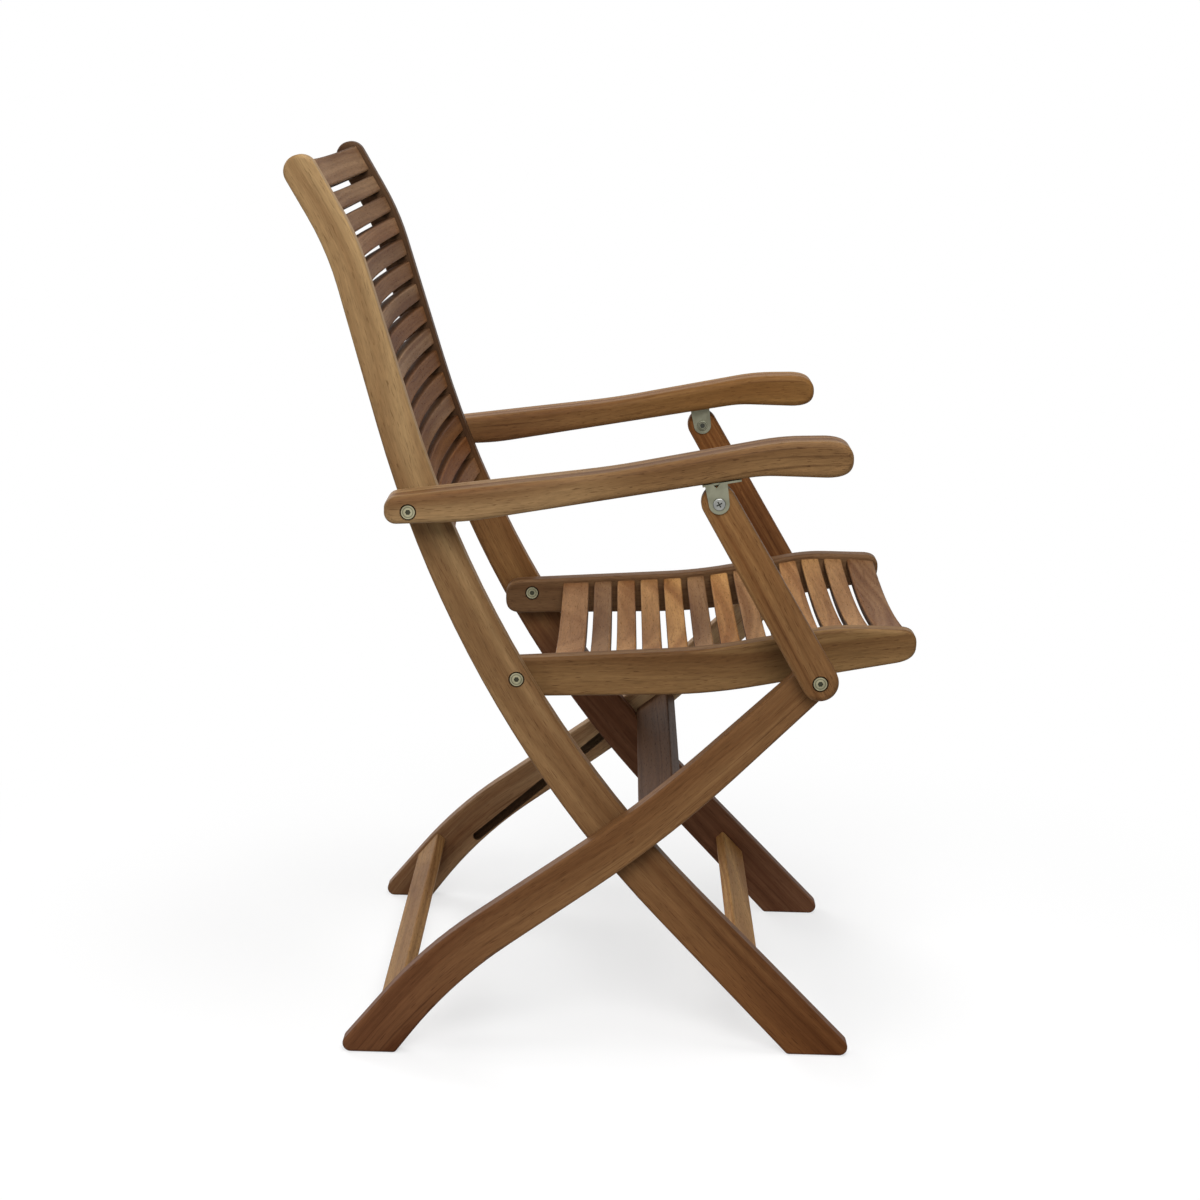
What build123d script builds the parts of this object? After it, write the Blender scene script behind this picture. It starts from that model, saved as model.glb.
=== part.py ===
from build123d import *
from math import atan2, cos, degrees, radians, sin
import os

# Folding slatted armchair. Two long curved stiles are the front legs and carry the slatted back.
# The seat swings up between them, the rear legs swing outside them, and the arms stand on posts.
# +X is the front, +Y the sitter's left and +Z up. The origin is on the floor under the middle.
os.makedirs("parts", exist_ok=True)

# Boards across the chair, from the middle outwards
clear_width = 432.0  # between the two stiles
rail_thick = 24.0
stile_thick = 24.0
leg_thick = 24.0
post_thick = 24.0
arm_width = 54.0
side_gap = 1.0  # washer gap between boards that turn on each other

# Clearances
turn_gap = 0.05  # a barrel in its hole, and a head on its seat
stop_gap = 0.3  # surfaces that nearly touch

# Pivots, seen from the side
seat_pivot_z = 412.5
seat_pivot_lead = 11.2  # in front of the stile's centre line
arm_pivot_z = 598.0
arm_pivot_back = 10.0  # behind the stile's centre line
link_reach = 315.0  # seat pivot to front pivot, and arm pivot to bracket pivot
link_rise = 16.5
fold_angle = 100.0  # how far the seat swings up
leg_follow = 0.685  # turn of the leg frame for each degree of the seat

# Stile: foot, knee, shoulder and crown of its centre line
stile_foot_x = 252.0
stile_foot_width = 57.0
stile_knee_x = -129.0
stile_knee_z = 389.0
stile_knee_width = 46.0
stile_knee_radius = 1270.0
stile_shoulder_x = -273.5
stile_shoulder_z = 862.0
stile_shoulder_width = 33.5
stile_shoulder_radius = 300.0
stile_crown_x = -316.0
stile_crown_z = 933.0
stile_crown_width = 34.0

# Rear leg: foot, ankle and knee of its centre line, which ends at the front pivot
leg_foot_x = -244.0
leg_foot_width = 55.0
leg_ankle_x = -166.0
leg_ankle_z = 100.0
leg_ankle_width = 47.0
leg_ankle_radius = 500.0
leg_knee_x = 63.0
leg_knee_z = 267.0
leg_knee_width = 45.0
leg_knee_radius = 1200.0
leg_top_width = 38.0

# Feet and edges of the boards
toe_radius = 9.0
heel_radius = 5.0
board_round = 4.0
post_round = 6.5
arm_round = 7.0
slat_round = 2.5

# Seat rail, measured from the seat pivot
rail_tail = 32.0
rail_tail_top = 15.5
rail_tail_bottom = -25.5
rail_waist_x = 203.0
rail_waist_top = 31.0
rail_waist_bottom = -17.5
rail_waist_radius = 600.0
rail_brow_x = 335.0
rail_brow_top = 58.5
rail_brow_radius = 220.0
rail_nose_x = 404.0
rail_chin_x = 400.0
rail_chin_z = 22.0
rail_tip_x = 421.5
rail_tip_z = 43.0

# Slats of the back and the seat
back_slat_thick = 15.8
seat_slat_thick = 11.0
slat_tenon = 8.0
back_slat_count = 15
back_slat_width = 21.0
back_slat_gap = 6.7
top_slat_width = 33.0
top_slat_rise = 8.0  # its upper edge above the crown's centre
back_slat_inset = 4.5  # behind the stile's front edge
back_bow = 10.5
seat_slat_count = 13
seat_slat_width = 22.0
seat_slat_gap = 6.2
rear_slat_width = 32.0
front_slat_width = 34.0
seat_slat_start = 37.5  # rear slat's edge in front of the seat pivot
seat_slat_inset = 5.0  # below the rail's top edge
seat_bow = 12.0
seat_lip_drop = 10.0  # how far the front slat's path falls towards the nose
seat_lip_radius = 60.0

# Cross rails
front_stretcher_z = 88.0
front_stretcher_width = 38.0
front_stretcher_thick = 13.0
rear_stretcher_z = 56.0
rear_stretcher_width = 40.0
rear_stretcher_thick = 14.0
rear_stretcher_offset = 15.0  # from the leg's centre line towards its upper edge
stop_bar_width = 48.0
stop_bar_thick = 18.0

# Arm, measured from its pivot
arm_tail = 25.0
arm_tail_top = 13.6
arm_tail_bottom = -14.0
arm_tail_radius = 12.0
arm_heel_x = 60.0
arm_heel_z = -9.0
arm_heel_radius = 300.0
arm_throat_x = 358.0
arm_throat_z = 46.4
arm_throat_radius = 150.0
arm_palm_x = 420.0
arm_palm_top = 83.0
arm_palm_bottom = 46.0
arm_crest_x = 378.0
arm_crest_z = 81.5
arm_crest_radius = 260.0
arm_dip_x = 205.0
arm_dip_z = 45.5
arm_dip_radius = 900.0
arm_tip_x = 449.5
arm_tip_z = 64.0

# Posts
post_top_width = 36.0
post_foot_width = 39.0

# Pivot hardware
barrel_radius = 4.0
barrel_bore = 2.6
screw_radius = 2.5
head_radius = 7.0
head_thick = 2.4
recess_radius = 8.5
recess_depth = 3.0
socket_radius = 2.9
socket_depth = 1.6
thread_grip = 14.0
washer_radius = 9.0
spacer_radius = 10.0
slide_pin_radius = 4.5
slide_pin_seat = 14.0
groove_width = 10.0
groove_depth = 11.0

# Arm bracket
ear_thick = 2.0
ear_gap = 0.5
ear_radius = 10.5
ear_top_width = 23.0
plate_back = 14.0
plate_front = 26.0
notch_width = 9.0
notch_depth = 5.0
bolt_radius = 3.0
bolt_head_radius = 6.4
bolt_head_thick = 2.2
cross_length = 6.4
cross_width = 1.4
nut_radius = 6.2
nut_thick = 2.2
nut_recess = 0.8  # bolt's end below the nut's face
wood_screw_radius = 1.8
wood_screw_length = 20.0
wood_screw_head = 3.4
wood_screw_back = 8.0
wood_screw_front = 19.0

# Layers of boards, as distances from the middle plane
stile_in = clear_width / 2
stile_out = stile_in + stile_thick
rail_out = stile_in - side_gap
rail_in = rail_out - rail_thick
leg_in = stile_out + side_gap
leg_out = leg_in + leg_thick
post_in = leg_out + side_gap
post_out = post_in + post_thick
arm_in = stile_out + side_gap
arm_out = arm_in + arm_width
ear_in = post_in - ear_gap - ear_thick
ear_out = post_out + ear_gap + ear_thick
hole_radius = barrel_radius + turn_gap


def keep(piece, name):
    """Label a finished piece and write it."""
    piece.part.label = name
    export_step(piece.part, f"parts/{name}.step")


def keep_pair(right_piece, name):
    """Write a piece of the right side and its mirror image on the left."""
    keep(right_piece, f"right_{name}")
    with BuildPart() as left_piece:
        mirror(right_piece.part, about=Plane.XZ)
    keep(left_piece, f"left_{name}")


def edge_points(stations, side, inset=0.0):
    """Points of one long edge of a board from its centre stations (x, z, width)."""
    centres = [Vector(x, z) for x, z, width in stations]
    runs = [(b - a).normalized() for a, b in zip(centres, centres[1:])]
    points = []
    for number, (centre, station) in enumerate(zip(centres, stations)):
        before = runs[max(number - 1, 0)]
        after = runs[min(number, len(runs) - 1)]
        along = (before + after).normalized()
        reach = side * (station[2] / 2 - inset) / along.dot(after)
        point = centre + Vector(along.Y, -along.X) * reach
        points.append((point.X, point.Y))
    return points


def share_where(line, passed):
    """Share of a line's length from which its points pass a test."""
    low, high = 0.0, 1.0
    for _ in range(40):
        middle = (low + high) / 2
        if passed(line.position_at(middle)):
            high = middle
        else:
            low = middle
    return high


def at_height(line, height):
    """Share of a rising line's length at which it reaches a height."""
    return share_where(line, lambda point: point.Z >= height)


def x_at(line, height):
    """X of a rising line at a height."""
    return line.position_at(at_height(line, height)).X


def crossing(forward_line, backward_line):
    """Share of a forward rising line's length at which it meets a backward rising one."""
    return share_where(forward_line, lambda point: point.X >= x_at(backward_line, point.Z))


def below_floor(foot, joint, width):
    """Station on a leg's line, far enough below the floor to cut the foot flat."""
    run = Vector(*foot) - Vector(*joint)
    end = Vector(*foot) + run.normalized() * width
    return (end.X, end.Y, width)


def side_line(points, radii):
    """Filleted line in the side plane."""
    with BuildLine(Plane.XZ) as line:
        FilletPolyline(*points, radius=radii)
    return line.wire()


def leg_board(stations, radii, inner, thick):
    """Tapered curved board with a round top and a flat foot with rounded corners."""
    with BuildSketch(Plane.XZ.offset(inner)) as outline:
        with BuildLine():
            back = FilletPolyline(*edge_points(stations, -1), radius=radii)
            front = FilletPolyline(*edge_points(stations, 1), radius=radii)
            TangentArc(back @ 1, front @ 1, tangent=back % 1)
            Line(back @ 0, front @ 0)
        make_face()
        span = 4 * stile_crown_z
        Rectangle(span, span, align=(Align.CENTER, Align.MIN), mode=Mode.INTERSECT)
        corners = outline.vertices().group_by(Axis.Y)[0].sort_by(Axis.X)
        toe, heel = (corners[-1], corners[0]) if stations[0][0] > 0 else (corners[0], corners[-1])
        fillet(toe, radius=toe_radius)
        fillet(outline.vertices().sort_by_distance(heel.center())[0], radius=heel_radius)
    extrude(outline.sketch, amount=thick)
    round_faces(board_round, thick)


def round_faces(radius, thick):
    """Round the edges of a board's two broad faces."""
    broad = faces().filter_by(Axis.Y).sort_by(Axis.Y)
    fillet(broad[0].edges() + broad[-1].edges(), radius=min(radius, 0.4 * thick))


def disc(centre, start, end, radius, mode=Mode.ADD):
    """Round pin or hole across the right side, between two distances from the middle plane."""
    with BuildSketch(Plane.XZ.offset(start)) as round_outline:
        with Locations(centre):
            Circle(radius)
    extrude(round_outline.sketch, amount=end - start, mode=mode)


def pivot_barrels(centre, seat, end):
    """Pair of barrel nuts with flat heads, heads towards the middle of the chair."""
    disc(centre, seat - head_thick, seat, head_radius)
    disc(centre, seat, end, barrel_radius)
    disc(centre, end - thread_grip, end, barrel_bore, Mode.SUBTRACT)
    mirror(about=Plane.XZ)


def pivot_screws(centre, seat, tip):
    """Pair of screws with flat hex socket heads, heads outwards."""
    disc(centre, tip, seat, screw_radius)
    disc(centre, seat, seat + head_thick, head_radius)
    with BuildSketch(Plane.XZ.offset(seat + head_thick - socket_depth)) as socket:
        with Locations(centre):
            RegularPolygon(socket_radius, 6)
    extrude(socket.sketch, amount=socket_depth, mode=Mode.SUBTRACT)
    mirror(about=Plane.XZ)


def pivot_rings(centre, start, end, radius):
    """Pair of washers or spacers round the barrels."""
    disc(centre, start, end, radius)
    disc(centre, start, end, hole_radius, Mode.SUBTRACT)
    mirror(about=Plane.XZ)


def bowed_slat(plane, half_length, bow, width, thick, edge_radius):
    """Slat across the chair that curves away from the sitter, its face on the plane's X axis."""
    with BuildSketch(plane) as section:
        with BuildLine():
            ThreePointArc((-half_length, 0), (0, bow), (half_length, 0))
            ThreePointArc((-half_length, thick), (0, bow + thick), (half_length, thick))
            Line((-half_length, 0), (-half_length, thick))
            Line((half_length, 0), (half_length, thick))
        make_face()
    extrude(section.sketch, amount=width / 2, both=True)
    fillet(edges().filter_by(GeomType.CIRCLE), radius=min(edge_radius, 0.4 * thick))


def cross_rail(centre, along, half_length, width, thick):
    """Straight rail across the chair, its width along a direction in the side plane."""
    plane = Plane(origin=(centre.X, 0, centre.Z), x_dir=along, z_dir=(0, 1, 0))
    with BuildSketch(plane) as section:
        Rectangle(width, thick)
    extrude(section.sketch, amount=half_length, both=True)
    fillet(edges().filter_by(Axis.Y), radius=min(slat_round, 0.4 * thick))


# Lines of the stile and the pivots on it
stile_foot = below_floor((stile_foot_x, 0), (stile_knee_x, stile_knee_z), stile_foot_width)
stile_stations = [
    stile_foot,
    (stile_knee_x, stile_knee_z, stile_knee_width),
    (stile_shoulder_x, stile_shoulder_z, stile_shoulder_width),
    (stile_crown_x, stile_crown_z, stile_crown_width),
]
stile_radii = [stile_knee_radius, stile_shoulder_radius]
stile_line = side_line([station[:2] for station in stile_stations], stile_radii)
stile_front = side_line(edge_points(stile_stations, 1), stile_radii)
slat_line = side_line(edge_points(stile_stations, 1, back_slat_inset), stile_radii)

seat_pivot = Vector(x_at(stile_line, seat_pivot_z) + seat_pivot_lead, seat_pivot_z)
arm_pivot = Vector(x_at(stile_line, arm_pivot_z) - arm_pivot_back, arm_pivot_z)
link = Vector(link_reach, link_rise)
front_pivot = seat_pivot + link
bracket_pivot = arm_pivot + link

# Line of the rear leg, and where it crosses the stile
leg_foot = below_floor((leg_foot_x, 0), (leg_ankle_x, leg_ankle_z), leg_foot_width)
leg_stations = [
    leg_foot,
    (leg_ankle_x, leg_ankle_z, leg_ankle_width),
    (leg_knee_x, leg_knee_z, leg_knee_width),
    (front_pivot.X, front_pivot.Y, leg_top_width),
]
leg_radii = [leg_ankle_radius, leg_knee_radius]
leg_line = side_line([station[:2] for station in leg_stations], leg_radii)
crossing_point = leg_line.position_at(crossing(leg_line, stile_line))
slide_pin = Vector(crossing_point.X, crossing_point.Z)

# Where the slide pin lies in the leg's groove when the chair is folded
folded_pivot = seat_pivot + link.rotate(Axis.Z, fold_angle)
folded_pin = front_pivot + (slide_pin - folded_pivot).rotate(Axis.Z, -leg_follow * fold_angle)

# Back slats, from the top down, tenoned into both stiles
back_slats = []
slat_reach = stile_in + slat_tenon
for number in range(back_slat_count):
    width = top_slat_width if number == 0 else back_slat_width
    drop = top_slat_width / 2 - top_slat_rise
    if number > 0:
        drop = top_slat_width - top_slat_rise + back_slat_gap + back_slat_width / 2
        drop += (number - 1) * (back_slat_width + back_slat_gap)
    share = 1 - drop / slat_line.length
    seat_of_slat = Plane(slat_line.position_at(share), x_dir=(0, 1, 0), z_dir=slat_line.tangent_at(share))
    with BuildPart() as back_slat:
        bowed_slat(seat_of_slat, slat_reach, back_bow, width, back_slat_thick, slat_round)
    keep(back_slat, f"back_slat_{number + 1:02d}")
    back_slats.append(back_slat)

# Front stretcher, tenoned between the stiles near their feet
front_share = at_height(stile_line, front_stretcher_z)
with BuildPart() as front_stretcher:
    cross_rail(
        stile_line.position_at(front_share),
        stile_line.tangent_at(front_share),
        stile_in + slat_tenon,
        front_stretcher_width,
        front_stretcher_thick,
    )
keep(front_stretcher, "front_stretcher")

# Stiles
with BuildPart() as right_stile:
    leg_board(stile_stations, stile_radii, stile_in, stile_thick)
    for slat in back_slats:
        add(slat.part, mode=Mode.SUBTRACT)
    add(front_stretcher.part, mode=Mode.SUBTRACT)
    disc(seat_pivot, stile_in, stile_out, hole_radius, Mode.SUBTRACT)
    disc(seat_pivot, stile_out - recess_depth, stile_out, recess_radius, Mode.SUBTRACT)
    disc(arm_pivot, stile_in, stile_out, hole_radius, Mode.SUBTRACT)
    disc(arm_pivot, stile_in, stile_in + recess_depth, recess_radius, Mode.SUBTRACT)
    disc(slide_pin, stile_out - slide_pin_seat, stile_out, slide_pin_radius, Mode.SUBTRACT)
keep_pair(right_stile, "stile")

# Slide pins, short of the rear leg so that the leg can swing past them
with BuildPart() as slide_pins:
    disc(slide_pin, stile_out - slide_pin_seat, leg_in - stop_gap, slide_pin_radius)
    mirror(about=Plane.XZ)
keep(slide_pins, "slide_pins")

# Seat pivots: rail and stile
seat_barrel_end = stile_out - recess_depth - turn_gap
with BuildPart() as seat_pivot_barrels:
    pivot_barrels(seat_pivot, rail_in + recess_depth - turn_gap, seat_barrel_end)
keep(seat_pivot_barrels, "seat_pivot_barrels")
with BuildPart() as seat_pivot_screws:
    pivot_screws(seat_pivot, stile_out - recess_depth, seat_barrel_end - thread_grip + screw_radius)
keep(seat_pivot_screws, "seat_pivot_screws")
with BuildPart() as seat_pivot_washers:
    pivot_rings(seat_pivot, rail_out + turn_gap, stile_in, washer_radius)
keep(seat_pivot_washers, "seat_pivot_washers")

# Arm pivots: stile and arm
arm_barrel_end = arm_out - recess_depth - turn_gap
with BuildPart() as arm_pivot_barrels:
    pivot_barrels(arm_pivot, stile_in + recess_depth, arm_barrel_end)
keep(arm_pivot_barrels, "arm_pivot_barrels")
with BuildPart() as arm_pivot_screws:
    pivot_screws(arm_pivot, arm_out - recess_depth + turn_gap, arm_barrel_end - thread_grip + screw_radius)
keep(arm_pivot_screws, "arm_pivot_screws")
with BuildPart() as arm_pivot_washers:
    pivot_rings(arm_pivot, stile_out, arm_in - turn_gap, washer_radius)
keep(arm_pivot_washers, "arm_pivot_washers")

# Front pivots: rail, spacer, leg and post
front_barrel_end = post_out - recess_depth - turn_gap
with BuildPart() as front_pivot_barrels:
    pivot_barrels(front_pivot, rail_in + recess_depth, front_barrel_end)
keep(front_pivot_barrels, "front_pivot_barrels")
with BuildPart() as front_pivot_screws:
    pivot_screws(front_pivot, post_out - recess_depth + turn_gap, front_barrel_end - thread_grip + screw_radius)
keep(front_pivot_screws, "front_pivot_screws")
with BuildPart() as front_pivot_spacers:
    pivot_rings(front_pivot, rail_out, leg_in - turn_gap, spacer_radius)
keep(front_pivot_spacers, "front_pivot_spacers")
with BuildPart() as front_pivot_washers:
    pivot_rings(front_pivot, leg_out + turn_gap, post_in - turn_gap, washer_radius)
keep(front_pivot_washers, "front_pivot_washers")

# Seat slats, from the rear to the front, tenoned into both rails
rail_cap_x = (rail_tail_top - rail_tail_bottom) / 2 - rail_tail
top_points = [
    (rail_cap_x, rail_tail_top),
    (rail_waist_x, rail_waist_top),
    (rail_brow_x, rail_brow_top),
    (rail_nose_x, rail_brow_top),
]
lip = (rail_nose_x + front_slat_width, rail_brow_top - seat_lip_drop)
seat_line = side_line(
    [(seat_pivot.X + x, seat_pivot.Y + z - seat_slat_inset) for x, z in top_points + [lip]],
    [rail_waist_radius, rail_brow_radius, seat_lip_radius],
)
rear_edge = share_where(seat_line, lambda point: point.X >= seat_pivot.X + seat_slat_start)
reach = rear_edge * seat_line.length
seat_slats = []
for number in range(seat_slat_count):
    width = seat_slat_width
    if number == 0:
        width = rear_slat_width
    elif number == seat_slat_count - 1:
        width = front_slat_width
    edge_radius = seat_slat_thick if number == seat_slat_count - 1 else slat_round
    share = (reach + width / 2) / seat_line.length
    seat_of_slat = Plane(seat_line.position_at(share), x_dir=(0, 1, 0), z_dir=-seat_line.tangent_at(share))
    with BuildPart() as seat_slat:
        bowed_slat(seat_of_slat, rail_in + slat_tenon, seat_bow, width, seat_slat_thick, edge_radius)
    keep(seat_slat, f"seat_slat_{number + 1:02d}")
    seat_slats.append(seat_slat)
    reach += width + seat_slat_gap

# Seat rails
with BuildPart() as right_rail:
    with BuildSketch(Plane.XZ.offset(rail_in)):
        with BuildLine():
            top = FilletPolyline(
                *[seat_pivot + Vector(x, z) for x, z in top_points],
                radius=[rail_waist_radius, rail_brow_radius],
            )
            bottom = FilletPolyline(
                seat_pivot + Vector(rail_cap_x, rail_tail_bottom),
                seat_pivot + Vector(rail_waist_x, rail_waist_bottom),
                seat_pivot + Vector(rail_chin_x, rail_chin_z),
                radius=rail_waist_radius,
            )
            tip = seat_pivot + Vector(rail_tip_x, rail_tip_z)
            tail = seat_pivot + Vector(-rail_tail, (rail_tail_top + rail_tail_bottom) / 2)
            Spline(top @ 1, tip, bottom @ 1, tangents=(top % 1, -(bottom % 1)))
            Spline(bottom @ 0, tail, top @ 0, tangents=(-(bottom % 0), top % 0))
        make_face()
    extrude(amount=rail_thick)
    round_faces(board_round, rail_thick)
    for slat in seat_slats:
        add(slat.part, mode=Mode.SUBTRACT)
    for pivot in (seat_pivot, front_pivot):
        disc(pivot, rail_in, rail_out, hole_radius, Mode.SUBTRACT)
        disc(pivot, rail_in, rail_in + recess_depth, recess_radius, Mode.SUBTRACT)
keep_pair(right_rail, "seat_rail")

# Rear stretcher, near the upper edge of the legs
rear_share = at_height(leg_line, rear_stretcher_z)
rear_along = leg_line.tangent_at(rear_share)
rear_upward = Vector(-rear_along.Z, 0, rear_along.X)
with BuildPart() as rear_stretcher:
    cross_rail(
        leg_line.position_at(rear_share) + rear_upward * rear_stretcher_offset,
        rear_along,
        leg_in + slat_tenon,
        rear_stretcher_width,
        rear_stretcher_thick,
    )
keep(rear_stretcher, "rear_stretcher")

# Stop bar, its upper face on the legs' centre line and its rear face against the stiles
stop_share = crossing(leg_line, stile_front)
stop_corner = leg_line.position_at(stop_share)
stop_along = leg_line.tangent_at(stop_share)
stop_down = Vector(stop_along.Z, 0, -stop_along.X)
lower_corner = stop_corner + stop_down * stop_bar_thick
overhang = max(0.0, x_at(stile_front, lower_corner.Z) - lower_corner.X)
stop_centre = stop_corner + stop_down * (stop_bar_thick / 2)
stop_centre += stop_along * (stop_bar_width / 2 + stop_gap + overhang)
with BuildPart() as stop_bar:
    cross_rail(stop_centre, stop_along, leg_in + slat_tenon, stop_bar_width, stop_bar_thick)
keep(stop_bar, "stop_bar")

# Rear legs
with BuildPart() as right_leg:
    leg_board(leg_stations, leg_radii, leg_in, leg_thick)
    add(rear_stretcher.part, mode=Mode.SUBTRACT)
    add(stop_bar.part, mode=Mode.SUBTRACT)
    with BuildSketch(Plane.XZ.offset(leg_in)):
        SlotCenterPoint((slide_pin + folded_pin) / 2, folded_pin, groove_width)
    extrude(amount=groove_depth, mode=Mode.SUBTRACT)
    disc(front_pivot, leg_in, leg_out, hole_radius, Mode.SUBTRACT)
keep_pair(right_leg, "rear_leg")

# Arms, with the bracket's plate lying along the straight part of the underside
arm_heel = arm_pivot + Vector(arm_heel_x, arm_heel_z)
arm_throat = arm_pivot + Vector(arm_throat_x, arm_throat_z)
underside = (arm_throat - arm_heel).normalized()
bracket_drop = (arm_heel - bracket_pivot).dot(Vector(-underside.Y, underside.X))


def bracket_plane(distance):
    """Side plane at the bracket's pivot, its X axis along the arm's underside."""
    origin = (bracket_pivot.X, -distance, bracket_pivot.Y)
    return Plane(origin, x_dir=(underside.X, 0, underside.Y), z_dir=(0, -1, 0))


def plate_discs(start, end, radius, mode):
    """Two round holes or pins through the bracket's plate, towards the arm."""
    middle = bracket_plane((ear_in + ear_out) / 2)
    face = Plane(middle.origin + middle.y_dir * start, x_dir=middle.x_dir, z_dir=middle.y_dir)
    with BuildSketch(face) as rounds:
        with Locations((-wood_screw_back, 0), (wood_screw_front, 0)):
            Circle(radius)
    extrude(rounds.sketch, amount=end - start, mode=mode)


with BuildPart() as right_arm:
    with BuildSketch(Plane.XZ.offset(arm_in)):
        with BuildLine():
            body = FilletPolyline(
                arm_pivot + Vector(arm_palm_x, arm_palm_bottom),
                arm_throat,
                arm_heel,
                arm_pivot + Vector(-arm_tail, arm_tail_bottom),
                arm_pivot + Vector(-arm_tail, arm_tail_top),
                arm_pivot + Vector(arm_dip_x, arm_dip_z),
                arm_pivot + Vector(arm_crest_x, arm_crest_z),
                arm_pivot + Vector(arm_palm_x, arm_palm_top),
                radius=[
                    arm_throat_radius,
                    arm_heel_radius,
                    arm_tail_radius,
                    arm_tail_radius,
                    arm_dip_radius,
                    arm_crest_radius,
                ],
            )
            tip = arm_pivot + Vector(arm_tip_x, arm_tip_z)
            Spline(body @ 1, tip, body @ 0, tangents=(body % 1, body % 0))
        make_face()
    extrude(amount=arm_width)
    round_faces(arm_round, arm_width)
    disc(arm_pivot, arm_in, arm_out, hole_radius, Mode.SUBTRACT)
    disc(arm_pivot, arm_out - recess_depth, arm_out, recess_radius, Mode.SUBTRACT)
    plate_discs(bracket_drop, bracket_drop + wood_screw_length, wood_screw_radius, Mode.SUBTRACT)
keep_pair(right_arm, "arm")

# Arm brackets: a plate under the arm and two ears beside the post
with BuildPart() as right_bracket:
    with BuildSketch(bracket_plane(ear_in)):
        with Locations(((plate_front - plate_back) / 2, bracket_drop - ear_thick / 2)):
            Rectangle(plate_front + plate_back, ear_thick)
    extrude(amount=ear_out - ear_in)
    for ear_start in (ear_in, ear_out - ear_thick):
        with BuildSketch(bracket_plane(ear_start)):
            Circle(ear_radius)
            with Locations((0, bracket_drop - ear_thick / 2)):
                Rectangle(ear_top_width, ear_thick)
            make_hull()
        extrude(amount=ear_thick)
    with BuildSketch(bracket_plane(ear_out - ear_thick)):
        with Locations((0, bracket_drop)):
            Polygon((-notch_width / 2, 0), (0, -notch_depth), (notch_width / 2, 0), align=None)
    extrude(amount=ear_thick, mode=Mode.SUBTRACT)
    disc(bracket_pivot, ear_in, ear_out, bolt_radius + turn_gap, Mode.SUBTRACT)
    plate_discs(bracket_drop - ear_thick, bracket_drop, wood_screw_radius, Mode.SUBTRACT)
keep_pair(right_bracket, "arm_bracket")

with BuildPart() as right_bolt:
    disc(bracket_pivot, ear_in - nut_thick + nut_recess, ear_out, bolt_radius)
    disc(bracket_pivot, ear_out, ear_out + bolt_head_thick, bolt_head_radius)
    rim = edges().filter_by(GeomType.CIRCLE).sort_by(Axis.Y)[0]
    fillet(rim, radius=bolt_head_thick / 2)
    with BuildSketch(bracket_plane(ear_out + bolt_head_thick / 2)):
        Rectangle(cross_length, cross_width, rotation=20)
        Rectangle(cross_width, cross_length, rotation=20)
    extrude(amount=bolt_head_thick, mode=Mode.SUBTRACT)
keep_pair(right_bolt, "bracket_bolt")

with BuildPart() as right_nut:
    disc(bracket_pivot, ear_in - nut_thick, ear_in, nut_radius)
    rim = edges().filter_by(GeomType.CIRCLE).sort_by(Axis.Y)[-1]
    fillet(rim, radius=nut_recess)
    disc(bracket_pivot, ear_in - nut_thick, ear_in, bolt_radius + turn_gap, Mode.SUBTRACT)
keep_pair(right_nut, "bracket_nut")

with BuildPart() as right_screws:
    plate_discs(bracket_drop - ear_thick, bracket_drop + wood_screw_length, wood_screw_radius, Mode.ADD)
    plate_discs(bracket_drop - 1.5 * ear_thick, bracket_drop - ear_thick, wood_screw_head, Mode.ADD)
keep_pair(right_screws, "bracket_screws")

# Posts
with BuildPart() as right_post:
    with BuildSketch(Plane.XZ.offset(post_in)):
        with Locations(bracket_pivot):
            Circle(post_top_width / 2)
        with Locations(front_pivot):
            Circle(post_foot_width / 2)
        make_hull()
    extrude(amount=post_thick)
    round_faces(post_round, post_thick)
    disc(bracket_pivot, post_in, post_out, bolt_radius + turn_gap, Mode.SUBTRACT)
    disc(front_pivot, post_in, post_out, hole_radius, Mode.SUBTRACT)
    disc(front_pivot, post_out - recess_depth, post_out, recess_radius, Mode.SUBTRACT)
keep_pair(right_post, "post")
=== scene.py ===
import math
import bpy
import bmesh
from mathutils import Matrix, Vector


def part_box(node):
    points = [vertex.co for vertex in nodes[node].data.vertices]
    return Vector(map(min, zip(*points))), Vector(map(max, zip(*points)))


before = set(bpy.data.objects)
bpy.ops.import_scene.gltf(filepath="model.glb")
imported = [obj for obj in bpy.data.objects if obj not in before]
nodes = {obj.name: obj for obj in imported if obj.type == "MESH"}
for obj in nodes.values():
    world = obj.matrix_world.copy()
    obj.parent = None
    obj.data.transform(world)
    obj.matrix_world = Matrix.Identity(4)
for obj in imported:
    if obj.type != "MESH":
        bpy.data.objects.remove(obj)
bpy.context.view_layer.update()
scene = bpy.context.scene
scene.view_settings.view_transform = "Standard"
print("chair loaded:", len(nodes), "pieces")

# camera where the photo was taken from: place in metres, angles in degrees, lens and sensor in mm
cameraLook = {
    "place": (0.0103, -2.7028, 1.0411),
    "yaw": -0.303,
    "pitch": 12.377,
    "roll": 1.482,
    "lens": 72.52,
    "sensor": 36.0,
    "farthest": 50.0,
}


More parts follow.
